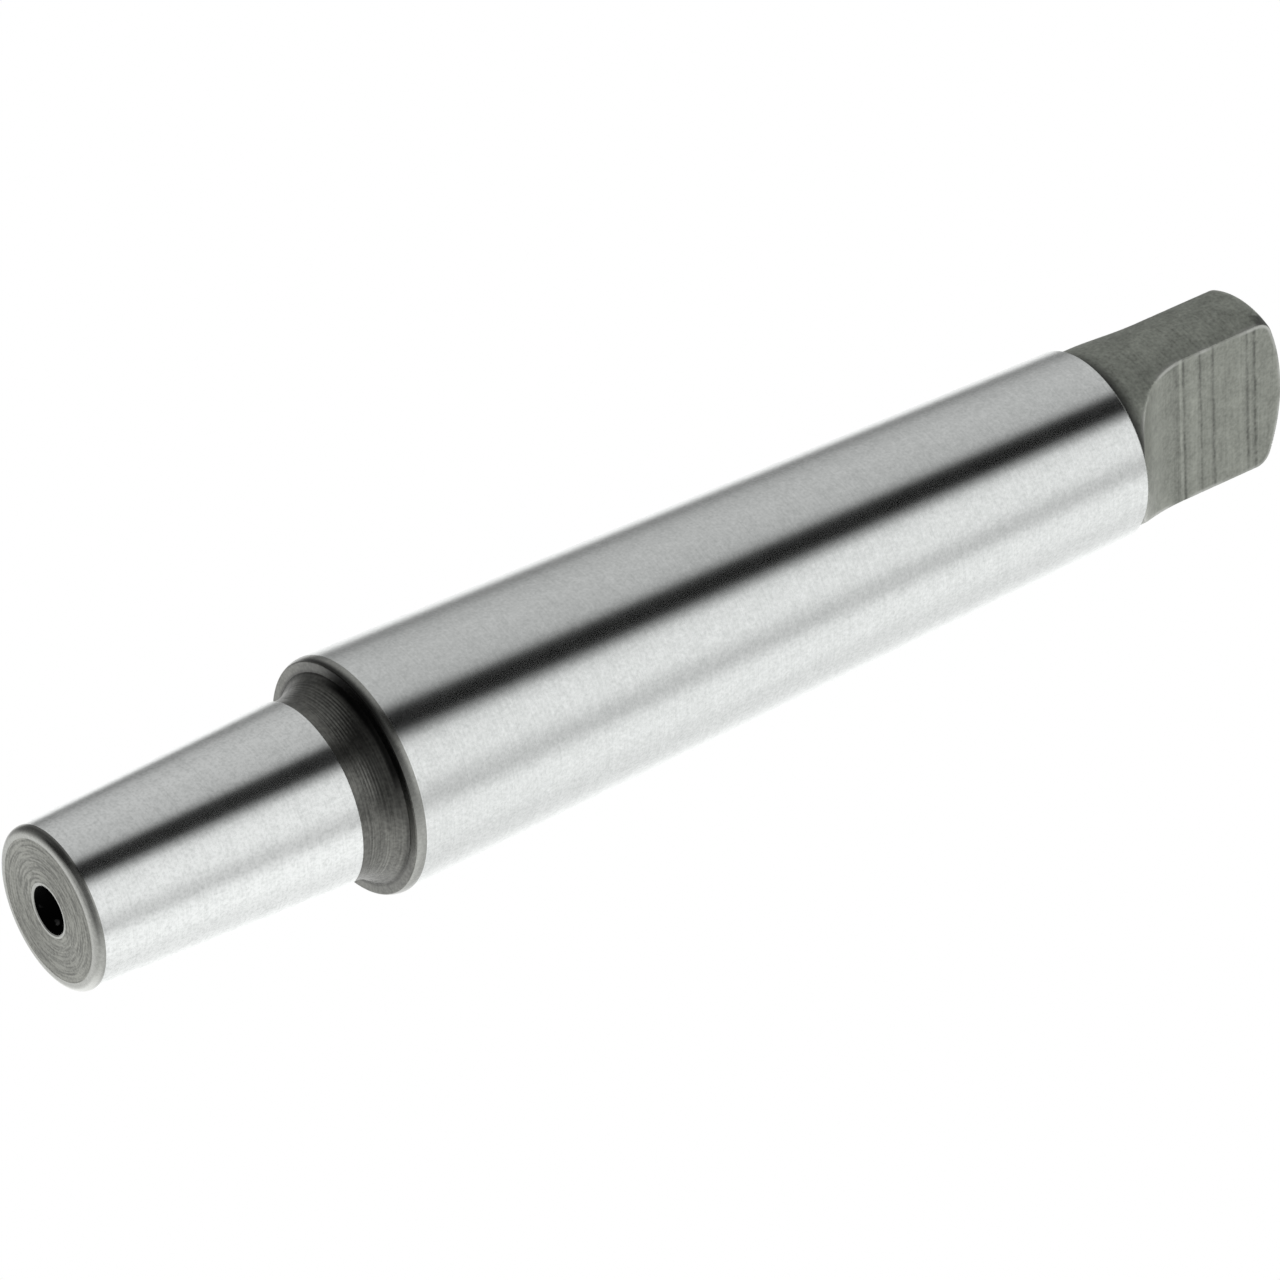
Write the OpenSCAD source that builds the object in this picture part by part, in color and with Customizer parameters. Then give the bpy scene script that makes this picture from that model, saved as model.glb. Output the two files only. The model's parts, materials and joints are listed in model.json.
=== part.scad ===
// Drill chuck arbor, turned, hardened and ground from one steel bar.
// It stands on the end face of its chuck taper, with the tang on top.
// Lengths run along +Z from that end face, and the tang's flats face +X and -X.

/* [Chuck taper] */
// Diameter of the chuck taper at the end face
chuck_small_d = 12.386; // [12:0.001:12.8]
// Growth in diameter of the chuck taper for each millimetre of length
chuck_taper = 0.08155; // [0.07:0.00001:0.09]
// Ground length of the chuck taper, from the end face
chuck_len = 21.7; // [18:0.1:26]
// Radius on the rim of the end face
chuck_rim_r = 0.6; // [0.2:0.1:1.2]

/* [Relief neck] */
// Depth of the neck below the big end of the chuck taper
neck_depth = 0.18; // [0.05:0.01:0.5]
// Length from the big end of the chuck taper to the shoulder face
neck_len = 3.26; // [2.8:0.02:4.5]
// Radius of the curve that flares out of the neck
flare_r = 3.5; // [2:0.1:4]
// Height by which the flare rises from the neck to the shoulder face
flare_rise = 1.1; // [0.6:0.05:1.4]

/* [Taper shank] */
// Diameter of the shank at its gauge line
gauge_d = 17.78; // [17.6:0.01:18.4]
// Growth in diameter of the shank for each millimetre of length
shank_taper = 0.04995; // [0.045:0.00001:0.055]
// Distance from the shoulder face to the gauge line
gauge_offset = 5; // [3:0.1:7]
// Ground length of the shank, from the shoulder face
shank_len = 66.2; // [55:0.05:75]
// Length of the lead chamfer behind the shoulder face
lead_len = 0.75; // [0.3:0.05:1.5]
// Depth of the lead chamfer
lead_depth = 0.18; // [0.05:0.01:0.4]
// Chamfer on the small end of the shank
shank_end_chamfer = 0.15; // [0.05:0.01:0.25]

/* [Tang] */
// Diameter of the turned tang
tang_d = 13.85; // [13.2:0.05:14]
// Length of the tang, from the ground shank to its tip
tang_len = 16.05; // [14:0.05:20]
// Thickness across the two milled flats
tang_t = 5.85; // [5:0.05:7]
// Length of the straight flats, back from the tip
flat_len = 9.5; // [7:0.1:10.5]
// Radius of the milling cutter, which the run-out keeps
cutter_r = 7.4; // [5:0.1:8]
// Radius of the slightly domed tip
tip_r = 16; // [12:0.1:40]
// Radius on the corner of the tip
tip_corner_r = 1.35; // [0.5:0.05:2]

/* [Centre holes] */
// Mouth diameter of the centre hole in the end face
face_mouth_d = 3.6; // [3:0.1:5]
// Pilot diameter of that centre hole
face_pilot_d = 1.6; // [1:0.1:2]
// Depth of that pilot, from the end face
face_pilot_depth = 4.2; // [3.6:0.1:6]
// Mouth diameter of the centre hole in the tip
tip_mouth_d = 3; // [2.4:0.1:3.4]
// Pilot diameter of that centre hole
tip_pilot_d = 1.2; // [0.8:0.1:1.6]
// Depth of that pilot, from the tip
tip_pilot_depth = 3.4; // [3:0.1:5]
// Width of the guard chamfer round each mouth
guard_w = 0.15; // [0.05:0.01:0.3]
// Half of the angle of the seat for the lathe centre
seat_half_angle = 30; // [25:1:45]
// Half of the angle of the pilot drill's point
drill_half_angle = 59; // [45:1:75]

/* [Hidden] */
$fn = 120;
steel = [0.74, 0.75, 0.75];
// How far a cutting shape reaches past the metal
overcut = 2;

chuck_slope = chuck_taper / 2;
shank_slope = shank_taper / 2;
chuck_big_r = chuck_small_d / 2 + chuck_slope * chuck_len;
neck_r = chuck_big_r - neck_depth;
shoulder_z = chuck_len + neck_len;
gauge_z = shoulder_z + gauge_offset;
shank_end_z = shoulder_z + shank_len;
tang_r = tang_d / 2;
tip_z = shank_end_z + tang_len;

// Radius of the ground shank at height z
function shank_r(z) = gauge_d / 2 - shank_slope * (z - gauge_z);

// The rim circle touches the end face and the flank of the chuck taper
flank_len = sqrt(1 + chuck_slope * chuck_slope);
rim_x = chuck_small_d / 2 + chuck_rim_r * (chuck_slope - flank_len);
rim_touch = [rim_x + chuck_rim_r / flank_len, chuck_rim_r * (1 - chuck_slope / flank_len)];

// The flare's circle leaves the neck at flare_z and reaches the shoulder face
flare_z = shoulder_z - sqrt(flare_rise * (2 * flare_r - flare_rise));
flare_end_r = neck_r + flare_rise;

// The corner circle touches the turned tang and, from inside, the domed tip
dome_z = tip_z - tip_r;
corner_x = tang_r - tip_corner_r;
corner_z = dome_z + sqrt(pow(tip_r - tip_corner_r, 2) - corner_x * corner_x);
dome_reach = tip_r / (tip_r - tip_corner_r);
dome_touch = [corner_x * dome_reach, dome_z + (corner_z - dome_z) * dome_reach];

// Outline of the turned blank with straight edges, bottom to top
module turned_outline() {
    polygon([
        [0, 0],
        [rim_x, 0],
        rim_touch,
        [chuck_big_r, chuck_len],
        [neck_r, chuck_len],
        [neck_r, flare_z],
        [flare_end_r, shoulder_z],
        [shank_r(shoulder_z) - lead_depth, shoulder_z],
        [shank_r(shoulder_z + lead_len), shoulder_z + lead_len],
        [shank_r(shank_end_z - shank_end_chamfer), shank_end_z - shank_end_chamfer],
        [shank_r(shank_end_z) - shank_end_chamfer, shank_end_z],
        [tang_r, shank_end_z],
        [tang_r, corner_z],
        dome_touch,
        [0, dome_z]
    ]);
}

// Hollow of the flare, between the neck and the shoulder face
module flare_hollow() {
    intersection() {
        translate([neck_r + flare_r, flare_z]) circle(flare_r);
        translate([neck_r, flare_z]) square([flare_rise + overcut, shoulder_z - flare_z]);
    }
}

// Domed tip, between the axis and the corner circle
module dome() {
    intersection() {
        translate([0, dome_z]) circle(tip_r);
        polygon([
            [0, dome_z],
            [dome_touch[0] * overcut, dome_z + (dome_touch[1] - dome_z) * overcut],
            [0, dome_z + tip_r * overcut]
        ]);
    }
}

// Half section of a centre hole that opens downwards at height 0
module centre_hole(mouth_d, pilot_d, pilot_depth) {
    guard_r = mouth_d / 2 + guard_w;
    guard_z = guard_w * tan(seat_half_angle);
    seat_z = guard_z + (mouth_d - pilot_d) / 2 / tan(seat_half_angle);
    polygon([
        [0, -overcut],
        [guard_r, -overcut],
        [guard_r, 0],
        [mouth_d / 2, guard_z],
        [pilot_d / 2, seat_z],
        [pilot_d / 2, pilot_depth],
        [0, pilot_depth + pilot_d / 2 / tan(drill_half_angle)]
    ]);
}

// Full half section of the blank, with its rounded corners and centre holes
module blank_section() {
    difference() {
        union() {
            difference() {
                turned_outline();
                flare_hollow();
            }
            translate([rim_x, chuck_rim_r]) circle(chuck_rim_r);
            translate([corner_x, corner_z]) circle(tip_corner_r);
            dome();
        }
        centre_hole(face_mouth_d, face_pilot_d, face_pilot_depth);
        translate([0, tip_z]) mirror([0, 1]) centre_hole(tip_mouth_d, tip_pilot_d, tip_pilot_depth);
    }
}

// Metal that the side cutter takes off the +X side of the tang
module milled_away() {
    flat_z = tip_z - flat_len;
    rotate([90, 0, 0]) linear_extrude(tang_d + overcut, center = true) {
        translate([tang_t / 2 + cutter_r, flat_z]) circle(cutter_r);
        translate([tang_t / 2, flat_z]) square([2 * cutter_r, flat_len + overcut]);
    }
}

module arbor() {
    color(steel) difference() {
        rotate_extrude() blank_section();
        for (side = [0, 180]) rotate([0, 0, side]) milled_away();
    }
}

arbor();
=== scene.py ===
import json
import bpy
import numpy as np
from mathutils import Matrix, Vector


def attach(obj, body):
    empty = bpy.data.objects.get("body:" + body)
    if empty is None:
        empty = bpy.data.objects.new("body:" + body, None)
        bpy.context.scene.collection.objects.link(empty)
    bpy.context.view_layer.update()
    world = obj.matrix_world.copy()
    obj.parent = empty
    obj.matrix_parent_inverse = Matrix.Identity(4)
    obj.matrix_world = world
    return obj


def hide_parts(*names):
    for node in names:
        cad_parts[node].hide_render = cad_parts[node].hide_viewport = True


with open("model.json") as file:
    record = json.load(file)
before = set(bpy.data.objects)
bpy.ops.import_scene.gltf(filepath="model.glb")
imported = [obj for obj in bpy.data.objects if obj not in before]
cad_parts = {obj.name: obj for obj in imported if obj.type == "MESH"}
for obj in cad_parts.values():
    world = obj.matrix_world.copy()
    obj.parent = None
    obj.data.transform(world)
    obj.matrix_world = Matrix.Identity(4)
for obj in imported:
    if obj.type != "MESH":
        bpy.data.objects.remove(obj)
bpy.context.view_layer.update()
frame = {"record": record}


# Camera. It stands below the end face and looks up along the arbor, with the tang
# furthest away, and is rolled so that the arbor runs from lower left to upper right.
# Its place is in millimetres in the arbor's own frame.
MM = 0.001
CAMERA_AT = Vector((535.28, -464.89, -325.36)) * MM
LOOK_ALONG = Vector((-0.667186, 0.578873, 0.468800))
PICTURE_UP = Vector((-0.45316, -0.81489, 0.36138))
SENSOR_MM = 36
LENS_MM = 316.93
NEAREST_SEEN = 0.05

camera_data = bpy.data.cameras.new("camera")
camera_data.sensor_width = SENSOR_MM
camera_data.lens = LENS_MM
camera_data.clip_start = NEAREST_SEEN
camera = bpy.data.objects.new("camera", camera_data)
bpy.context.scene.collection.objects.link(camera)
back = -LOOK_ALONG.normalized()
right = PICTURE_UP.cross(back).normalized()
facing = Matrix((right, back.cross(right), back)).transposed()
camera.matrix_world = Matrix.Translation(CAMERA_AT) @ facing.to_4x4()
bpy.context.scene.camera = camera
bpy.context.scene.view_settings.view_transform = "Standard"


# Studio surround. A white tent with a grey panel and a narrow black flag, which
# draws the dark line along the ground tapers, over a table that is dark on the same
# side. Mirrored rays see it, the camera sees white, and all others a plain level.
class Value:
    """An output socket of a node tree. Arithmetic on it adds Math nodes."""

    def __init__(self, tree, socket):
        self.tree = tree
        self.socket = socket

    def math(self, operation, *others):
        """A Math node whose first input is this value."""
        return node(self.tree, "ShaderNodeMath", {"operation": operation}, [self, *others])

    def __add__(self, other):
        return self.math("ADD", other)

    def __radd__(self, other):
        return self.math("ADD", other)

    def __mul__(self, other):
        return self.math("MULTIPLY", other)

    def __rmul__(self, other):
        return self.math("MULTIPLY", other)

    def __sub__(self, other):
        return self.math("SUBTRACT", other)

    def __rsub__(self, other):
        return self.math("MULTIPLY", -1) + other

    def __truediv__(self, other):
        return self.math("DIVIDE", other)

    def out(self, name):
        """Another output of the node that this value comes from, by name or number."""
        return Value(self.tree, self.socket.node.outputs[name])


def node(tree, kind, settings, inputs):
    """Adds a node and returns its first output, if it has one.

    settings are the node's own properties, or a ramp's stops, and come first.
    inputs are values or links, as a list from the first socket on or by socket name.
    """
    made = tree.nodes.new(kind)
    for name, value in settings.items():
        if name == "stops":
            places = made.color_ramp.elements
            for place, level in value[1:-1]:
                places.new(place)
            for stop, (place, level) in zip(places, value):
                stop.position = place
                stop.color = grey(level)
        else:
            setattr(made, name, value)
    named = inputs.items() if isinstance(inputs, dict) else enumerate(inputs)
    for name, value in named:
        if isinstance(value, Value):
            tree.links.new(value.socket, made.inputs[name])
        else:
            made.inputs[name].default_value = value
    return Value(tree, made.outputs[0] if made.outputs else None)


def grey(level):
    return (level, level, level, 1)


def between(value, low, high):
    """Rises smoothly from 0 where value is low to 1 where it is high."""
    settings = {"interpolation_type": "SMOOTHSTEP"}
    return node(value.tree, "ShaderNodeMapRange", settings, {0: value, 1: low, 2: high})


def mix_colour(factor, first, second):
    """The first colour where factor is 0 and the second where it is 1."""
    inputs = {0: factor, 6: first, 7: second}
    return node(factor.tree, "ShaderNodeMix", {"data_type": "RGBA"}, inputs).out(2)


# Levels by bearing, in degrees anticlockwise from above, counted from the camera's
# side: the panels above the horizon, and the table far away and close by
CAMERA_BEARING = -40.97
PANELS = [
    (-180, 1.22), (-165, 1.15), (-156, 1.03), (-149, 0.78), (-141, 0.22), (-132, 0.26), (-117, 0.48),
    (-88, 0.58), (-52, 0.53), (-46, 0.42), (-38, 0.0), (-19, 0.0), (-10, 0.46), (-4, 0.84),
    (10, 0.92), (26, 0.94), (36, 0.82), (44, 0.66), (54, 0.60), (62, 0.84), (70, 0.97),
    (92, 0.96), (110, 0.84), (130, 0.86), (144, 1.0), (156, 1.15), (180, 1.25)
]
FAR_TABLE = [
    (-180, 1.25), (-170, 1.02), (-158, 0.5), (-145, 0.18), (-125, 0.22), (-100, 0.26), (-75, 0.18),
    (-60, 0.11), (-35, 0.08), (-10, 0.2), (10, 0.28), (35, 0.38), (55, 0.65), (80, 1.08),
    (110, 1.2), (150, 1.2), (180, 1.25)
]
NEAR_TABLE = [
    (-180, 1.1), (-165, 0.9), (-145, 0.5), (-128, 0.25), (-110, 0.04), (-50, 0.04), (-25, 0.15),
    (0, 0.24), (35, 0.24), (50, 0.3), (70, 0.55), (85, 0.85), (110, 1.0), (150, 1.1), (180, 1.1)
]
BRIGHTEST = 1.25
ZENITH_LEVEL = 0.85
NADIR_LEVEL = 0.6
PLAIN_LEVEL = 0.55
CAMERA_LEVEL = 1

# Sines of the elevations between which each part of the surround takes over
PANELS_FROM = (-0.02, 0.24)
ZENITH_FROM = (0.94, 0.99)
NEAR_TABLE_FROM = (-0.36, -0.62)
NADIR_FROM = (-0.87, -0.97)


def by_bearing(turn, levels):
    """The level at a bearing, which comes as a share of a whole turn, along straight lines between pairs."""
    stops = [((bearing + 180) / 360, level / BRIGHTEST) for bearing, level in levels]
    return node(turn.tree, "ShaderNodeValToRGB", {"stops": stops}, [turn]) * BRIGHTEST


world = bpy.data.worlds.new("studio")
world.use_nodes = True
world.cycles.sampling_method = "NONE"
bpy.context.scene.world = world
sky = world.node_tree
sky.nodes.clear()
direction = node(sky, "ShaderNodeTexCoord", {}, []).out("Generated")
east = node(sky, "ShaderNodeSeparateXYZ", {}, [direction])
north = east.out("Y")
upward = east.out("Z")
bearing = north.math("ARCTAN2", east) * (180 / np.pi) - CAMERA_BEARING
turn = (bearing / 360 + 0.5).math("FRACT")
far_table, near_table = by_bearing(turn, FAR_TABLE), by_bearing(turn, NEAR_TABLE)
table = mix_colour(between(upward, *NEAR_TABLE_FROM), far_table, near_table)
surround = mix_colour(between(upward, *PANELS_FROM), table, by_bearing(turn, PANELS))
surround = mix_colour(between(upward, *ZENITH_FROM), surround, grey(ZENITH_LEVEL))
surround = mix_colour(between(upward, *NADIR_FROM), surround, grey(NADIR_LEVEL))
ray = node(sky, "ShaderNodeLightPath", {}, [])
seen = ray.out("Is Camera Ray").math("MAXIMUM", ray.out("Is Transmission Ray"))
light = mix_colour(ray.out("Is Glossy Ray"), grey(PLAIN_LEVEL), surround)
light = mix_colour(seen, light, grey(CAMERA_LEVEL))
background = node(sky, "ShaderNodeBackground", {}, {"Color": light})
node(sky, "ShaderNodeOutputWorld", {}, {"Surface": background})


# Floor and lamp. Plain pale paper lies just under the end face and keeps the
# arbor's soft shadow. It shows only from above, because the camera looks up from
# below it. One softbox, high on the right, casts that shadow.
FLOOR_HALF = 8.0
FLOOR_GAP = 0.0002
FLOOR_LEVEL = 0.86
LAMP_AT = Vector((0.5, -0.35, 0.9))
LAMP_SIZE = 0.45
LAMP_WATTS = 4.5

floor_mesh = bpy.data.meshes.new("floor")
square = [(-1, -1), (1, -1), (1, 1), (-1, 1)]
floor_corners = [(x * FLOOR_HALF, y * FLOOR_HALF, -FLOOR_GAP) for x, y in square]
floor_mesh.from_pydata(floor_corners, [], [(0, 1, 2, 3)])
floor = bpy.data.objects.new("floor", floor_mesh)
bpy.context.scene.collection.objects.link(floor)
paper = bpy.data.materials.new("pale_paper")
paper.use_nodes = True
paper_tree = paper.node_tree
paper_tree.nodes.clear()
camera_ray = node(paper_tree, "ShaderNodeLightPath", {}, []).out("Is Camera Ray")
from_below = node(paper_tree, "ShaderNodeNewGeometry", {}, []).out("Backfacing")
matt = node(paper_tree, "ShaderNodeBsdfDiffuse", {}, {"Color": grey(FLOOR_LEVEL)})
clear = node(paper_tree, "ShaderNodeBsdfTransparent", {}, [])
cover = node(paper_tree, "ShaderNodeMixShader", {}, [camera_ray * (1 - from_below), clear, matt])
node(paper_tree, "ShaderNodeOutputMaterial", {}, {"Surface": cover})
floor_mesh.materials.append(paper)

lamp_data = bpy.data.lights.new("softbox", "AREA")
lamp_data.size = LAMP_SIZE
lamp_data.energy = LAMP_WATTS
lamp = bpy.data.objects.new("softbox", lamp_data)
lamp_turn = LAMP_AT.to_track_quat("Z", "Y").to_matrix().to_4x4()
lamp.matrix_world = Matrix.Translation(LAMP_AT) @ lamp_turn
lamp.visible_camera = False
lamp.visible_glossy = False
bpy.context.scene.collection.objects.link(lamp)


# Arbor, its turned form. One bar of steel: turned, milled on the tang, hardened, and
# ground on both tapers. The half section's places are (radius, height) in millimetres
# and run from the bottom of the end face's centre hole, out and up to the tang.
mounts = {mount["name"]: mount for mount in frame["record"]["mounts"]}
BIG_END_R = mounts["chuck_taper"]["dims"]["r_mm"]
CHUCK_LEN = mounts["chuck_taper"]["dims"]["length_mm"]
GAUGE_R = mounts["shank_taper"]["dims"]["r_mm"]
GAUGE_Z = mounts["shank_taper"]["pos_m"][2] / MM
SHANK_END_Z = GAUGE_Z + mounts["shank_taper"]["dims"]["length_mm"]
SHANK_SLOPE = 0.024975


def shank_r(z):
    """Radius of the ground shank at height z: the gauge radius less the slope times the way up."""
    return GAUGE_R - SHANK_SLOPE * (z - GAUGE_Z)


def rounded(corners, radii, steps):
    """Rows of a half section along straight lines, with an arc of so many steps at each inner corner.

    An arc touches both lines of its corner: it starts radius * tan(half the turn)
    before the corner, and its normal turns evenly from one line's to the other's.
    Returns points and normals, the normals on the right of the way along.
    """
    corners = np.array(corners, float)
    along = np.diff(corners, axis=0)
    along /= np.linalg.norm(along, axis=1)[:, None]
    before, after = along[:-1], along[1:]
    turns = np.arctan2(before[:, 0] * after[:, 1] - before[:, 1] * after[:, 0], (before * after).sum(1))
    bends = np.sign(turns) * radii
    sideways = np.stack([along[:, 1], -along[:, 0]], -1)
    starts = corners[1:-1] - before * np.abs(bends * np.tan(turns / 2))[:, None]
    centres = starts - sideways[:-1] * bends[:, None]
    which = np.repeat(np.arange(len(steps)), np.array(steps) + 1)
    share = np.concatenate([np.linspace(0, 1, count + 1) for count in steps])
    angles = np.arctan2(sideways[which, 1], sideways[which, 0]) + turns[which] * share
    normals = np.stack([np.cos(angles), np.sin(angles)], -1)
    arcs = centres[which] + normals * bends[which, None]
    points = np.concatenate([corners[:1], arcs, corners[-1:]])
    return points, np.concatenate([sideways[:1], normals, sideways[-1:]])


def faced(start, end, count):
    """Rows of a half section along a straight line that faces down."""
    points = np.linspace(start, end, count)
    return points, np.tile((0.0, -1.0), (count, 1))


def scored(rows, start, count, pitch, depth):
    """Rows of a half section with count tool marks side by side, from the distance start along it.

    A mark sinks by depth * (1 - cos(turns)) / 2 along the normal, which leans by that slope.
    """
    points, normals = rows
    way = np.concatenate([[0], np.cumsum(np.linalg.norm(np.diff(points, axis=0), axis=1))])
    turns = 2 * np.pi * np.clip((way - start) / pitch, 0, count)[:, None]
    along = np.stack([-normals[:, 1], normals[:, 0]], -1)
    leaning = normals + along * depth * np.sin(turns) * np.pi / pitch
    sunk = points - normals * depth * (1 - np.cos(turns)) / 2
    return sunk, leaning / np.linalg.norm(leaning, axis=1)[:, None]


# Centre hole from its drilled point to the mouth of its seat, the guard chamfer
# round it, and the faced end with the widest of its turning marks
HOLE = [(0, 4.68), (0.8, 4.2), (0.8, 1.819), (1.8, 0.087), (1.86, 0.0522)]
HOLE_ROUNDS = [0.1, 0.05, 0.03]
GUARD_R = 1.95
GUARD_ROUND = 0.05
MARKS_R = 2.1
FACE_MARKS = 11
FACE_PITCH = 0.3
FACE_DEPTH = 0.004
ROWS_A_MARK = 4
marks_end = (MARKS_R + FACE_MARKS * FACE_PITCH, 0)
hole = rounded(HOLE, HOLE_ROUNDS, [3, 3, 2])
guard = rounded([HOLE[-1], (GUARD_R, 0), (MARKS_R, 0)], [GUARD_ROUND], [3])
face = faced((MARKS_R, 0), marks_end, FACE_MARKS * ROWS_A_MARK + 1)
face = scored(face, 0, FACE_MARKS, FACE_PITCH, FACE_DEPTH)

# Rim, ground chuck taper and the small step behind it
FACE_R = 6.193
RIM_R = 0.6
RIM_TOP_Z = 0.62
NECK_DEPTH = 0.18
NECK_FOOT = 0.3
STEP_ROUND = 0.06
NECK_R = BIG_END_R - NECK_DEPTH
rim_top = (FACE_R + RIM_TOP_Z * (BIG_END_R - FACE_R) / CHUCK_LEN, RIM_TOP_Z)
step_middle = (NECK_R + NECK_DEPTH / 2, CHUCK_LEN)
neck_foot = (NECK_R, CHUCK_LEN + NECK_FOOT)
rim = rounded([marks_end, (FACE_R, 0), rim_top], [RIM_R], [9])
chuck = rounded([rim_top, (BIG_END_R, CHUCK_LEN), step_middle], [STEP_ROUND], [4])
neck_root = rounded([step_middle, (NECK_R, CHUCK_LEN), neck_foot], [STEP_ROUND], [4])

# Neck and its flare up to the shoulder face, finely scored by a pointed tool
SHOULDER_Z = 24.96
FLARE_RISE = 1.1
FLARE_R = 3.4
FLARE_CURVE = 0.97
SHOULDER_ROUND = 0.04
RING_EDGE = 0.1
SCORES_START = 0.05
SCORES = 11
SCORE_PITCH = 0.225
SCORE_DEPTH = 0.018
lean = np.arccos(1 - FLARE_RISE / FLARE_R)
flare_corner = (NECK_R, SHOULDER_Z - FLARE_RISE / np.tan(lean))
flare_end = (NECK_R + FLARE_RISE, SHOULDER_Z)
ring_start = (flare_end[0] + RING_EDGE, SHOULDER_Z)
flare_rounds = [FLARE_CURVE * FLARE_R, SHOULDER_ROUND]
flare = rounded([neck_foot, flare_corner, flare_end, ring_start], flare_rounds, [80, 3])
flare = scored(flare, SCORES_START, SCORES, SCORE_PITCH, SCORE_DEPTH)

# Shoulder face and the lead behind it, which a stone left slightly round
LEAD_LEN = 0.77
LEAD_DEPTH = 0.235
LEAD_TILT = np.radians(30)
LEAD_START = 0.165
LEAD_ROUND = 1.31
RING_ROUND = 0.12
ring_corner = (shank_r(SHOULDER_Z) - LEAD_DEPTH, SHOULDER_Z)
ring_end = (ring_corner[0] - RING_EDGE, SHOULDER_Z)
lead_corner_z = SHOULDER_Z + LEAD_DEPTH / (np.tan(LEAD_TILT) + SHANK_SLOPE)
lead_corner = (shank_r(lead_corner_z), lead_corner_z)
lead_start = tuple(np.array(ring_corner) * (1 - LEAD_START) + np.array(lead_corner) * LEAD_START)
lead_end = (shank_r(SHOULDER_Z + LEAD_LEN), SHOULDER_Z + LEAD_LEN)
ring = faced(ring_start, ring_end, 4)
ring_edge = rounded([ring_end, ring_corner, lead_start], [RING_ROUND], [5])
lead = rounded([lead_start, lead_corner, lead_end], [LEAD_ROUND], [12])

# Ground shank, and the step down to the tang
END_CHAMFER = 0.15
CHAMFER_ROUND = 0.03
LEDGE = 0.1
TANG_R = 6.925
chamfer_foot = (shank_r(SHANK_END_Z - END_CHAMFER), SHANK_END_Z - END_CHAMFER)
chamfer_top = (shank_r(SHANK_END_Z) - END_CHAMFER, SHANK_END_Z)
ledge_end = (TANG_R + LEDGE, SHANK_END_Z)
shank = rounded([lead_end, chamfer_foot, chamfer_top, ledge_end], [CHAMFER_ROUND, CHAMFER_ROUND], [2, 3])


# Arbor, its milled tang. The side cutter's two flats run out in its own radius, so
# they meet the turned round in a curved edge. The surface is where the distance
# below is zero, found along rays from the axis, one for each row and column.
FLAT_X = mounts["tang_flat_front"]["pos_m"][0] / MM
FLAT_Z = 97.71
CUTTER_R = 7.4
CUTTER_LIFT = 0.06
DOME_R = 16
DOME_Z = 91.21
CORNER_R = 1.35
CORNER_X = TANG_R - CORNER_R
CORNER_Z = DOME_Z + np.sqrt((DOME_R - CORNER_R) ** 2 - CORNER_X ** 2)
BROKEN_EDGE = 0.1
MILL_LINES = np.array([97.92, 99.5, 100.68, 103.85, 104.52])
MILL_DEPTHS = np.array([0.025, 0.02, 0.02, 0.025, 0.02])
MILL_LINE_WIDTH = 0.1
RAY_LEN = 9.0
HALVINGS = 40
SLOPE_STEP = 0.001

# Columns in degrees round the axis, close together for EDGE_SPAN each way from the
# edges of the flats
EDGE_SPAN = 5
flat_edge = np.degrees(np.arccos(FLAT_X / TANG_R))
before_edge = np.linspace(0, flat_edge - EDGE_SPAN, 40, endpoint=False)
at_edge = np.linspace(flat_edge - EDGE_SPAN, flat_edge + EDGE_SPAN, 15, endpoint=False)
after_edge = np.linspace(flat_edge + EDGE_SPAN, 90, 13)
quarter = np.concatenate([before_edge, at_edge, after_edge])
half = np.concatenate([quarter, 180 - quarter[-2:0:-1]])
columns = np.radians(np.concatenate([half, half + 180]))


def tang_gap(place):
    """Distance from a place to the tang in millimetres, less than 0 in the metal, and where it was milled.

    The blank is a cylinder, a ring at the corner of the tip, and a dome. The cut is
    a flat with the cutter's hollow below it and fine lines across it. Their edge is
    rounded: hypot(blank + r, cut + r) - r. Milled is above 0 where the cut is left.
    """
    x, z = np.abs(place[..., 0]), place[..., 2]
    out = np.hypot(x, place[..., 1])
    up = z - DOME_Z
    corner = np.where(z > CORNER_Z, np.hypot(out - CORNER_X, z - CORNER_Z) - CORNER_R, out - TANG_R)
    blank = np.where(out * (CORNER_Z - DOME_Z) < up * CORNER_X, np.hypot(out, up) - DOME_R, corner)
    below = np.minimum(z - FLAT_Z - CUTTER_LIFT, 0)
    lines = MILL_DEPTHS * np.exp(-((z[..., None] - MILL_LINES) / MILL_LINE_WIDTH) ** 2)
    cut = CUTTER_R - np.hypot(FLAT_X + CUTTER_R - x, below) + lines.sum(-1)
    edge = np.hypot(np.maximum(blank + BROKEN_EDGE, 0), np.maximum(cut + BROKEN_EDGE, 0))
    return np.minimum(np.maximum(blank, cut), -BROKEN_EDGE) + edge, cut - blank


def tang_rows(heights, tilts):
    """Places, normals and milled values where rays leave the tang.

    A row's rays start on the axis at its height and rise by its tilt. The place is
    halved in between inside and outside, and the normal is the distance's gradient.
    """
    start = np.zeros((len(heights), 1, 3))
    start[:, 0, 2] = heights
    level, rise = np.cos(tilts)[:, None], np.sin(tilts)[:, None]
    rays = np.stack([level * np.cos(columns), level * np.sin(columns), rise + 0 * columns], -1)
    inside, outside = np.zeros(rays.shape[:2]), np.full(rays.shape[:2], RAY_LEN)
    for halving in range(HALVINGS):
        middle = (inside + outside) / 2
        gap, milled = tang_gap(start + rays * middle[..., None])
        inside, outside = np.where(gap < 0, middle, inside), np.where(gap < 0, outside, middle)
    places = start + rays * inside[..., None]
    offsets = np.eye(3) * SLOPE_STEP
    slopes = [tang_gap(places + offset)[0] - tang_gap(places - offset)[0] for offset in offsets]
    normals = np.stack(slopes, -1)
    return places, normals / np.linalg.norm(normals, axis=-1)[..., None], milled


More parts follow.
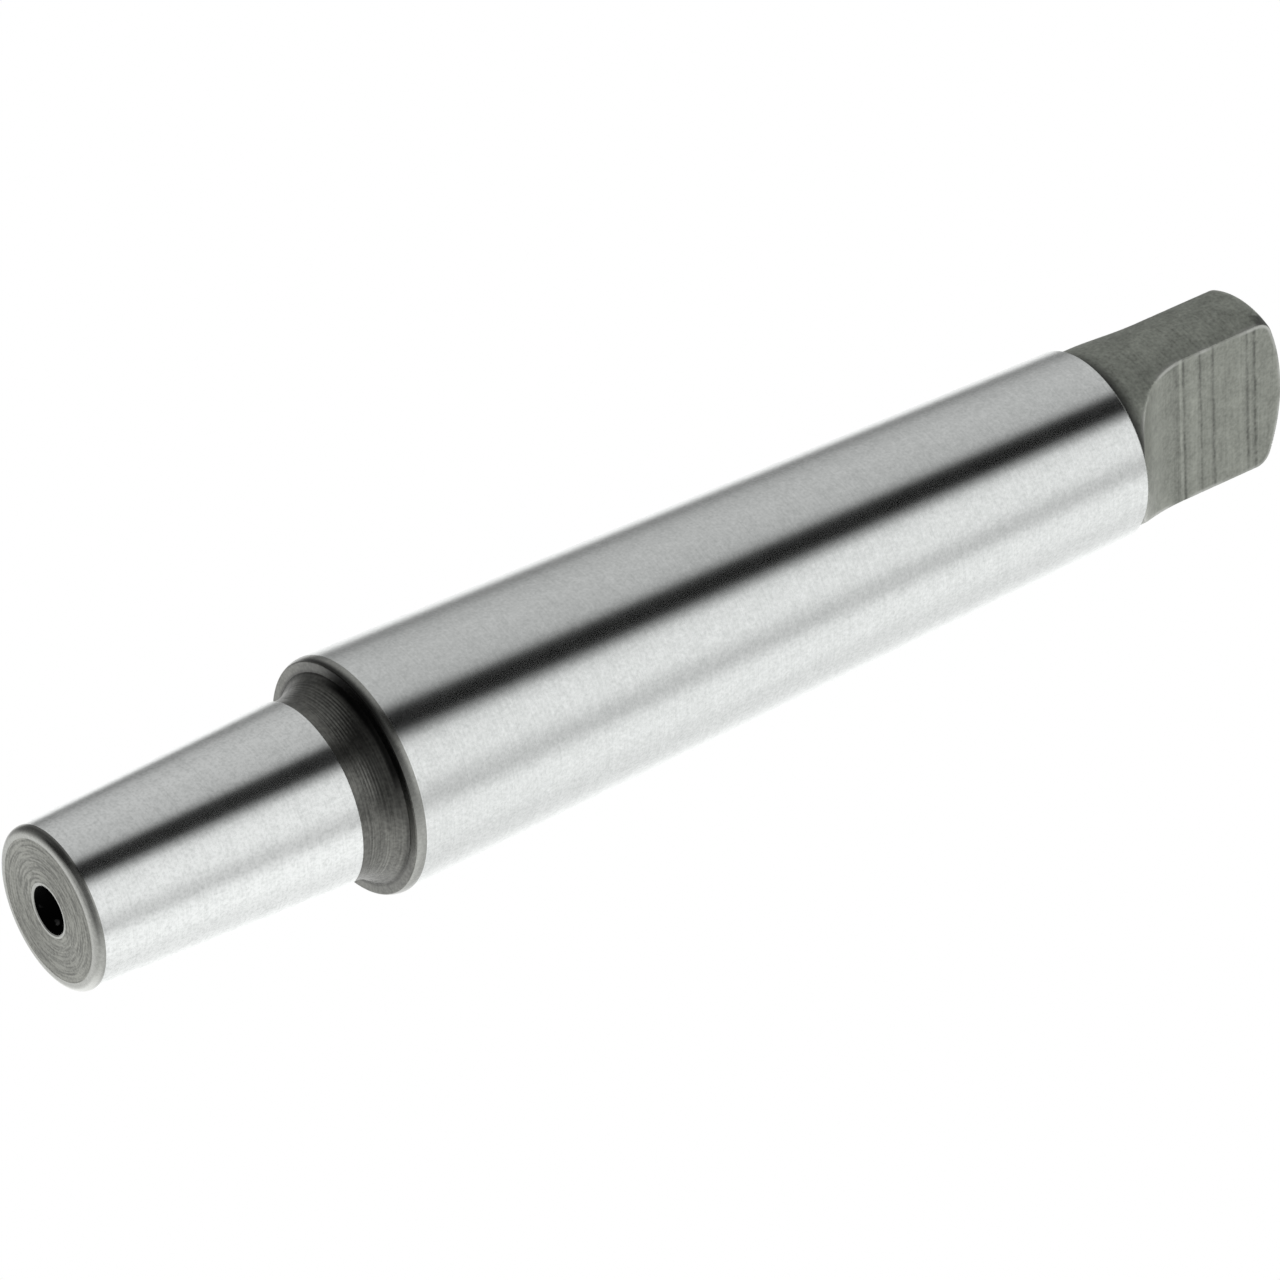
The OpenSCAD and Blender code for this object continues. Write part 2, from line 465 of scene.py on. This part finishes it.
# Rows of the side, close together where the cutter ran out and over its lines,
# then rows over the tip that fan out from FAN_Z, up to the mouth of its centre hole
ROOT_R = 0.08
FIRST_PLAIN_ROW = 98.3
PLAIN_PITCH = 0.35
ROWS_REACH = 2.4
ROWS_CLEAR = 3
LAST_TURN = 0.02
LINE_CLEAR = 0.03
FAN_Z = 104.2
MOUTH_R = 1.53
TIP_HOLE = [(1.5, 107.115), (0.6, 105.565), (0.6, 103.81), (0, 103.45)]
TIP_HOLE_ROUNDS = [0.02, 0.05, 0.1]
run_out_top = FLAT_Z + CUTTER_LIFT
apex = np.arcsin((run_out_top - SHANK_END_Z - ROOT_R) / CUTTER_R)
run_out_rows = run_out_top - CUTTER_R * np.sin(np.linspace(apex, LAST_TURN, 48))
line_rows = (MILL_LINES[:-1, None] + np.linspace(-ROWS_REACH, ROWS_REACH, 9) * MILL_LINE_WIDTH).ravel()
plain_rows = np.arange(FIRST_PLAIN_ROW, FAN_Z, PLAIN_PITCH)
kept = np.abs(plain_rows[:, None] - MILL_LINES).min(1) > ROWS_CLEAR * MILL_LINE_WIDTH
run_out_rows = run_out_rows[run_out_rows < line_rows[0] - LINE_CLEAR]
side_z = np.sort(np.concatenate([run_out_rows, line_rows, plain_rows[kept]]))
mouth_z = DOME_Z + np.sqrt(DOME_R ** 2 - MOUTH_R ** 2)
tip_tilts = np.linspace(0, np.arctan2(mouth_z - FAN_Z, MOUTH_R), 58)
side = tang_rows(side_z, np.zeros(len(side_z)))
tip = tang_rows(np.full(len(tip_tilts), FAN_Z), tip_tilts)
tip_hole = rounded([(MOUTH_R, mouth_z), *TIP_HOLE], TIP_HOLE_ROUNDS, [2, 3, 3])


# Arbor, its mesh. Every row becomes a ring with one vertex in each column. Quads
# join the rings, and a fan closes the bottom of each centre hole.
FACED, BORED, EASED, GROUND, TURNED, MILLED = range(6)
UNMILLED = -1.0


def revolved(points, normals):
    """A half section's rows at every column, (r cos, r sin, z), with their normals and no milled part."""
    across = np.stack([np.cos(columns), np.sin(columns)], -1)
    level = np.ones((1, len(columns), 1))
    places = np.dstack([points[:, :1, None] * across, points[:, 1:, None] * level])
    facings = np.dstack([normals[:, :1, None] * across, normals[:, 1:, None] * level])
    return places, facings, np.full(places.shape[:2], UNMILLED)


def rooted(foot):
    """Rings of the hollow that joins the step at the shank's end to the foot of the tang.

    It is a quarter circle: outward by ROOT_R * (1 - sin(turn)) and up by ROOT_R * (1 - cos(turn)).
    """
    turns = np.linspace(0, np.pi / 2, 4, endpoint=False)[:, None, None]
    flat = foot * (1, 1, 0)
    outwards = flat / np.linalg.norm(flat, axis=-1)[:, None]
    upwards = np.array([0.0, 0, 1])
    heights = SHANK_END_Z + ROOT_R * (1 - np.cos(turns))
    places = flat + outwards * ROOT_R * (1 - np.sin(turns)) + upwards * heights
    normals = outwards * np.sin(turns) + upwards * np.cos(turns)
    return places, normals, np.full(places.shape[:2], UNMILLED)


bands = [
    (revolved(*hole), BORED),
    (revolved(*guard), EASED),
    (revolved(*face), FACED),
    (revolved(*rim), EASED),
    (revolved(*chuck), GROUND),
    (revolved(*neck_root), TURNED),
    (revolved(*flare), TURNED),
    (revolved(*ring), TURNED),
    (revolved(*ring_edge), TURNED),
    (revolved(*lead), EASED),
    (revolved(*shank), GROUND),
    (rooted(side[0][0]), MILLED),
    (side, MILLED),
    (tip, MILLED),
    (revolved(*tip_hole), BORED)
]
places, normals, milled, finish = [], [], [], []
for (band_places, band_normals, band_milled), band_finish in bands:
    first = 1 if places and np.allclose(places[-1][-1], band_places[0]) else 0
    places.append(band_places[first:])
    normals.append(band_normals[first:])
    milled.append(band_milled[first:])
    finish.append(np.full(len(band_places) - first, band_finish))
places, normals, milled, finish = (np.concatenate(parts) for parts in (places, normals, milled, finish))
pole_low, pole_high = places[0, :1], places[-1, :1]
all_places = np.concatenate([pole_low, places[1:-1].reshape(-1, 3), pole_high]).round(9)
all_normals = np.concatenate([[(0, 0, -1)], normals[1:-1].reshape(-1, 3), [(0, 0, 1)]])
all_milled = np.concatenate([[UNMILLED], milled[1:-1].ravel(), [UNMILLED]])

column_count = len(columns)
ring_count = len(places) - 2
rings = 1 + np.arange(ring_count)[:, None] * column_count
this = np.arange(column_count)
following = np.roll(this, -1)
lower, upper = rings[:-1], rings[1:]
quads = np.stack([lower + this, lower + following, upper + following, upper + this], -1).reshape(-1, 4)
low_fan = np.stack([0 * this, rings[0] + following, rings[0] + this], -1)
high_fan = np.stack([rings[-1] + this, rings[-1] + following, 0 * this + len(all_places) - 1], -1)
quad_finish = np.repeat(finish[2:-1], column_count)
fan_finish = np.full(column_count, BORED)

arbor_mesh = bpy.data.meshes.new("arbor")
arbor_mesh.from_pydata((all_places * MM).tolist(), [], quads.tolist() + low_fan.tolist() + high_fan.tolist())
arbor_mesh.polygons.foreach_set("material_index", np.concatenate([quad_finish, fan_finish, fan_finish]))
arbor_mesh.polygons.foreach_set("use_smooth", np.ones(len(arbor_mesh.polygons), bool))
arbor_mesh.attributes.new("milled", "FLOAT", "POINT").data.foreach_set("value", all_milled)
arbor_mesh.update()
arbor_mesh.normals_split_custom_set_from_vertices(all_normals)
arbor = bpy.data.objects.new("arbor_bar", arbor_mesh)
bpy.context.scene.collection.objects.link(arbor)


# Arbor, its finishes, in the order from FACED to MILLED. Bright where it was ground,
# with marks that run round the axis and a fine grain. Dull and slightly warm where
# the blank was only turned or milled before hardening.
QUARTER_TURN = 0.25


def steel(name, anisotropy):
    """A bare metal with marks round the axis: its shader node and the place on the arbor."""
    material = bpy.data.materials.new(name)
    material.use_nodes = True
    arbor_mesh.materials.append(material)
    shader = material.node_tree.nodes["Principled BSDF"]
    shader.inputs["Metallic"].default_value = 1
    shader.inputs["Anisotropic"].default_value = anisotropy
    shader.inputs["Anisotropic Rotation"].default_value = QUARTER_TURN
    return shader, node(material.node_tree, "ShaderNodeTexCoord", {}, []).out("Object")


def feed(shader, name, value):
    value.tree.links.new(value.socket, shader.inputs[name])


def noise(place, across, up, detail):
    """Noise around 0, with so many features a metre across the axis and up along it."""
    scaled = node(place.tree, "ShaderNodeMapping", {}, {"Vector": place, "Scale": (across, across, up)})
    inputs = {"Vector": scaled, "Scale": 1, "Detail": detail}
    return node(place.tree, "ShaderNodeTexNoise", {}, inputs) - 0.5


def tint(variation, dark, light):
    """The colour halfway between dark and light, moved towards one of them by the variation."""
    return mix_colour(variation + 0.5, dark, light)


def vector(operation, first, *others):
    """A Vector Math node on a place or a direction."""
    return node(first.tree, "ShaderNodeVectorMath", {"operation": operation}, [first, *others])


def height_mm(place):
    return node(place.tree, "ShaderNodeSeparateXYZ", {}, [place]).out("Z") / MM


def radius(place):
    """Distance from the axis, in metres."""
    return vector("LENGTH", vector("MULTIPLY", place, (1, 1, 0))).out("Value")


def outward(place):
    """Unit direction away from the axis."""
    return vector("NORMALIZE", vector("MULTIPLY", place, (1, 1, 0)))


def on_side(place, bearing, none, full):
    """1 within full degrees of a bearing, counted from the arbor's +X, and 0 from none degrees off it."""
    side = np.radians(bearing)
    facing = vector("DOT_PRODUCT", outward(place), (np.cos(side), np.sin(side), 0)).out("Value")
    return between(facing, np.cos(np.radians(none)), np.cos(np.radians(full)))


def patch(place, heights, side, strength):
    """A patch that fades in between two heights in millimetres and lies on one side, as in on_side."""
    return between(height_mm(place), *heights) * on_side(place, *side) * strength


# End face: fine rings of the facing tool, which fade in and out on their way round
FACED_DARK = (0.132, 0.134, 0.121, 1)
FACED_LIGHT = (0.318, 0.322, 0.292, 1)
RINGS_A_METRE = 6000
ARC_SHARE = (2.2, 2.2, 0)
FACED_ROUGHNESS = 0.4
shader, place = steel("faced_steel", 0.55)
from_axis = node(place.tree, "ShaderNodeCombineXYZ", {}, {"Z": radius(place) * RINGS_A_METRE})
arcs = noise(vector("MULTIPLY_ADD", outward(place), ARC_SHARE, from_axis), 1, 1, 3)
specks = noise(place, 4500, 4500, 2)
feed(shader, "Base Color", tint(arcs * 3.4 + specks * 1.6, FACED_DARK, FACED_LIGHT))
feed(shader, "Roughness", FACED_ROUGHNESS + arcs * 0.15)

# Centre holes: painted near black as painted shade of the recess, apart from a few lighter random patches
HOLE_SHADE_LEVEL = 0.001
LIGHTER_PATCH_LEVEL = 0.11
PATCH_CONTRAST = 5
PATCH_SHORTFALL = 0.6
HOLE_GLOSS = 0.02
HOLE_ROUGHNESS = 0.5
shader, place = steel("bored_steel", 0)
shader.inputs["Metallic"].default_value = 0
shader.inputs["Specular IOR Level"].default_value = HOLE_GLOSS
lighter_patches = noise(place, 1100, 1100, 3) * PATCH_CONTRAST - PATCH_SHORTFALL
# Painted shade: the holes' colour is near black, with a few lighter random patches
feed(shader, "Base Color", mix_colour(lighter_patches, grey(HOLE_SHADE_LEVEL), grey(LIGHTER_PATCH_LEVEL)))
feed(shader, "Roughness", HOLE_ROUGHNESS + noise(place, 900, 900, 1) * 0.1)

# Rim, guard and lead: eased with a fine stone, half as bright as ground steel. On one
# side the rim's colour is lighter, a painted highlight, and on the other the rim and the
# lead are darker, painted shade. Each patch has its heights, then its bearing with the
# degrees off it, and its strength.
EASED_DARK = (0.295, 0.299, 0.282, 1)
EASED_LIGHT = (0.435, 0.442, 0.417, 1)
EASED_ROUGHNESS = 0.27
# Painted highlight: the lighter colour on one side of the rim
RIM_HIGHLIGHT_COLOUR = (0.74, 0.75, 0.72, 1)
# Painted shade: the dark colour of patches on the rim and the lead
PAINTED_SHADE_LEVEL = 0.01
RIM_ONLY = (2, 1)
# Painted highlight on the rim, then painted shade on the rim and on the lead
RIM_HIGHLIGHT_PATCH = ((-0.02, 0.1), (71, 58, 20), 0.66)
RIM_SHADE_PATCH = ((0.1, 0.35), (-91, 32, 14), 0.55)
LEAD_SHADE_PATCH = ((25.42, 25.1), (-83, 55, 22), 0.8)
shader, place = steel("eased_steel", 0.4)
on_rim = between(height_mm(place), *RIM_ONLY)
eased = tint(noise(place, 4500, 4500, 2) * 1.4, EASED_DARK, EASED_LIGHT)
# Painted highlight: lighter colour on one side of the rim
eased = mix_colour(on_rim * patch(place, *RIM_HIGHLIGHT_PATCH), eased, RIM_HIGHLIGHT_COLOUR)
# Painted shade: darker colour on the other side of the rim and on the lead
rim_painted_shade = on_rim * patch(place, *RIM_SHADE_PATCH)
lead_painted_shade = (1 - on_rim) * patch(place, *LEAD_SHADE_PATCH)
eased = mix_colour(rim_painted_shade.math("MAXIMUM", lead_painted_shade), eased, grey(PAINTED_SHADE_LEVEL))
feed(shader, "Base Color", eased)
feed(shader, "Roughness", EASED_ROUGHNESS + noise(place, 900, 900, 1) * 0.1)

# Both tapers: ground bright, the short one a little finer
GROUND_DARK = (0.66, 0.68, 0.67, 1)
GROUND_LIGHT = (0.94, 0.96, 0.95, 1)
GROUND_ROUGHNESS = 0.24
FINER_HEIGHTS = (24, 21.8)
FINER = 0.3
shader, place = steel("ground_steel", 0.75)
finer = between(height_mm(place), *FINER_HEIGHTS)
grain = noise(place, 60, 9000, 2) * 0.5 + noise(place, 4300, 4300, 2) * 1.25
grain = grain + noise(place, 1600, 1600, 1) * 0.5
brighter = grain * (1 + FINER * finer) + finer * FINER
feed(shader, "Base Color", tint(brighter, GROUND_DARK, GROUND_LIGHT))
feed(shader, "Roughness", GROUND_ROUGHNESS + noise(place, 700, 700, 1) * 0.04)

# Neck and shoulder face: darker, left by the pointed tool. Painted shade darkens the
# corner between them and up one side of the flare, and a further patch of painted
# shade fills the corner next to it.
TURNED_DARK = (0.112, 0.113, 0.105, 1)
TURNED_LIGHT = (0.232, 0.233, 0.216, 1)
TURNED_ROUGHNESS = 0.36
# Painted shade: the dark colour for the corner and the flare
NECK_SHADE_LEVEL = 0.005
CORNER_REACH = (0.3, 0.05)
# Painted shade in the corner, up one side of the flare, and in the corner next to it
CORNER_SHADE_STRENGTH = 0.45
FLARE_SHADE_PATCH = ((23.1, 23.8), (-37, 38, 16), 0.42)
CORNER_SIDE_SHADE_PATCH = ((24.38, 24.75), (-61, 50, 26), 0.93)
shader, place = steel("turned_steel", 0.4)
clouds = noise(place, 420, 420, 2) * 0.9
streaks = noise(place, 250, 9000, 2) * 1.6
specks = noise(place, 4000, 4000, 2) * 1.6
turned = tint(streaks + specks + clouds, TURNED_DARK, TURNED_LIGHT)
corner_out, corner_up = radius(place) / MM - flare_end[0], height_mm(place) - SHOULDER_Z
from_corner = (corner_out * corner_out + corner_up * corner_up).math("SQRT")
# Painted shade: darker colour in the corner, on one side of the flare and in the corner next to it
neck_painted_shade = between(from_corner, *CORNER_REACH) * CORNER_SHADE_STRENGTH
neck_painted_shade = neck_painted_shade.math("MAXIMUM", patch(place, *FLARE_SHADE_PATCH))
neck_painted_shade = neck_painted_shade.math("MAXIMUM", patch(place, *CORNER_SIDE_SHADE_PATCH))
feed(shader, "Base Color", mix_colour(neck_painted_shade, turned, grey(NECK_SHADE_LEVEL)))
feed(shader, "Roughness", TURNED_ROUGHNESS + noise(place, 900, 900, 1) * 0.1)

# Tang: dull, with a painted highlight along the edges round the flats, the cutter's
# lines across them as dark and light streaks, partly their own tone and partly painted
# shade and highlight along their relief, painted shade in the corner at its root and a
# darker patch near the tip. The lines are pairs of height and level, and they tilt a little.
ROUND_DARK = (0.224, 0.234, 0.21, 1)
ROUND_LIGHT = (0.61, 0.64, 0.574, 1)
FLAT_DARK = (0.135, 0.141, 0.126, 1)
FLAT_LIGHT = (0.405, 0.422, 0.376, 1)
# Painted highlight: the lighter colour along the edges of the flats
EDGE_HIGHLIGHT_COLOUR = (0.52, 0.53, 0.50, 1)
# Dark colour of the painted shade at the root and of the darker patch near the tip
ROOT_SHADE_AND_TIP_PATCH_LEVEL = 0.03
ROUND_ROUGHNESS = 0.62
FLAT_ROUGHNESS = 0.4
ON_FLAT = (-0.02, 0.04)
ON_EDGE = (0.34, 0.1)
# The cutter's lines as dark and light streaks: partly their own tone, partly painted shade and highlight
# along their relief
LINE_LEVELS = [
    (92.8, 0.67), (95.4, 0.60), (96.5, 0.5), (97.0, 0.40), (97.25, 0.34), (97.45, 0.44),
    (97.58, 0.68), (97.72, 0.6), (97.9, 0.22), (98.1, 0.5), (98.6, 0.6), (99.1, 0.6),
    (99.35, 0.45), (99.47, 0.26), (99.62, 0.5), (100.3, 0.58), (100.5, 0.45), (100.66, 0.26),
    (100.85, 0.55), (102.2, 0.52), (103.2, 0.58), (103.6, 0.5), (103.83, 0.28), (104.05, 0.55),
    (104.35, 0.4), (104.52, 0.2), (104.75, 0.52), (105.6, 0.5), (106.2, 0.55)
]
LINE_TILT = 0.022
LINE_WAVER = 0.012
# A darker patch near the tip, with a ragged edge
TIP_PATCH_AT = (0.0026, -0.0062, 0.1055)
TIP_PATCH_REACH = (1.2, 0.5)
TIP_PATCH_STRENGTH = 0.7
# Painted shade in the corner at the tang's root, stronger on one side
ROOT_HEIGHTS = (92.5, 91.2)
ROOT_SIDE = (-51, 60, 15)
ROOT_SHADE_STRENGTH = 0.45
shader, place = steel("milled_steel", 0.15)
height = height_mm(place)
sideways = node(place.tree, "ShaderNodeSeparateXYZ", {}, [place]).out("Y") / MM
milled_here = node(place.tree, "ShaderNodeAttribute", {"attribute_name": "milled"}, []).out("Fac")
on_flat = between(milled_here, *ON_FLAT)
on_edge = between(milled_here.math("ABSOLUTE"), *ON_EDGE)
first_line = LINE_LEVELS[0][0]
lines_length = LINE_LEVELS[-1][0] - first_line
stops = [((line - first_line) / lines_length, level) for line, level in LINE_LEVELS]
across = (height - sideways * LINE_TILT - first_line) / lines_length
across = across + noise(place, 900, 900, 2) * LINE_WAVER
# Partly the lines' own tone, partly painted shade and highlight along their relief
lines = (node(place.tree, "ShaderNodeValToRGB", {"stops": stops}, [across]) - 0.5) * on_flat
faded = lines * (noise(place, 1500, 1500, 2) * 4 + 1.35)
clouds = noise(place, 200, 5000, 3) * 0.4 + noise(place, 650, 650, 2) * (0.55 - on_flat * 0.1)
variation = noise(place, 4000, 4000, 2) * (1 - on_flat * 0.3) + clouds + faded
on_round = tint(variation, ROUND_DARK, ROUND_LIGHT)
dull = mix_colour(on_flat, on_round, tint(variation, FLAT_DARK, FLAT_LIGHT))
# Painted highlight along the edges of the flats
painted_edge_highlight = on_edge * (noise(place, 420, 420, 2) * 2.8 + 0.4)
edged = mix_colour(painted_edge_highlight, dull, EDGE_HIGHLIGHT_COLOUR)
# Darker patch near the tip
from_tip_patch = vector("DISTANCE", place, TIP_PATCH_AT).out("Value") / MM
ragged = from_tip_patch + noise(place, 1600, 1600, 2) * 1.2
tip_patch = between(ragged, *TIP_PATCH_REACH) * (1 - on_flat) * TIP_PATCH_STRENGTH
# Painted shade: darker colour in the corner at the root
root_painted_shade = between(height, *ROOT_HEIGHTS) * (1 + on_side(place, *ROOT_SIDE)) * ROOT_SHADE_STRENGTH
feed(shader, "Base Color", mix_colour(root_painted_shade.math("MAXIMUM", tip_patch), edged, grey(ROOT_SHADE_AND_TIP_PATCH_LEVEL)))
smoother = on_flat * (ROUND_ROUGHNESS - FLAT_ROUGHNESS)
feed(shader, "Roughness", ROUND_ROUGHNESS - smoother + noise(place, 1100, 1100, 2) * 0.1)

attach(arbor, "root")
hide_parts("arbor")
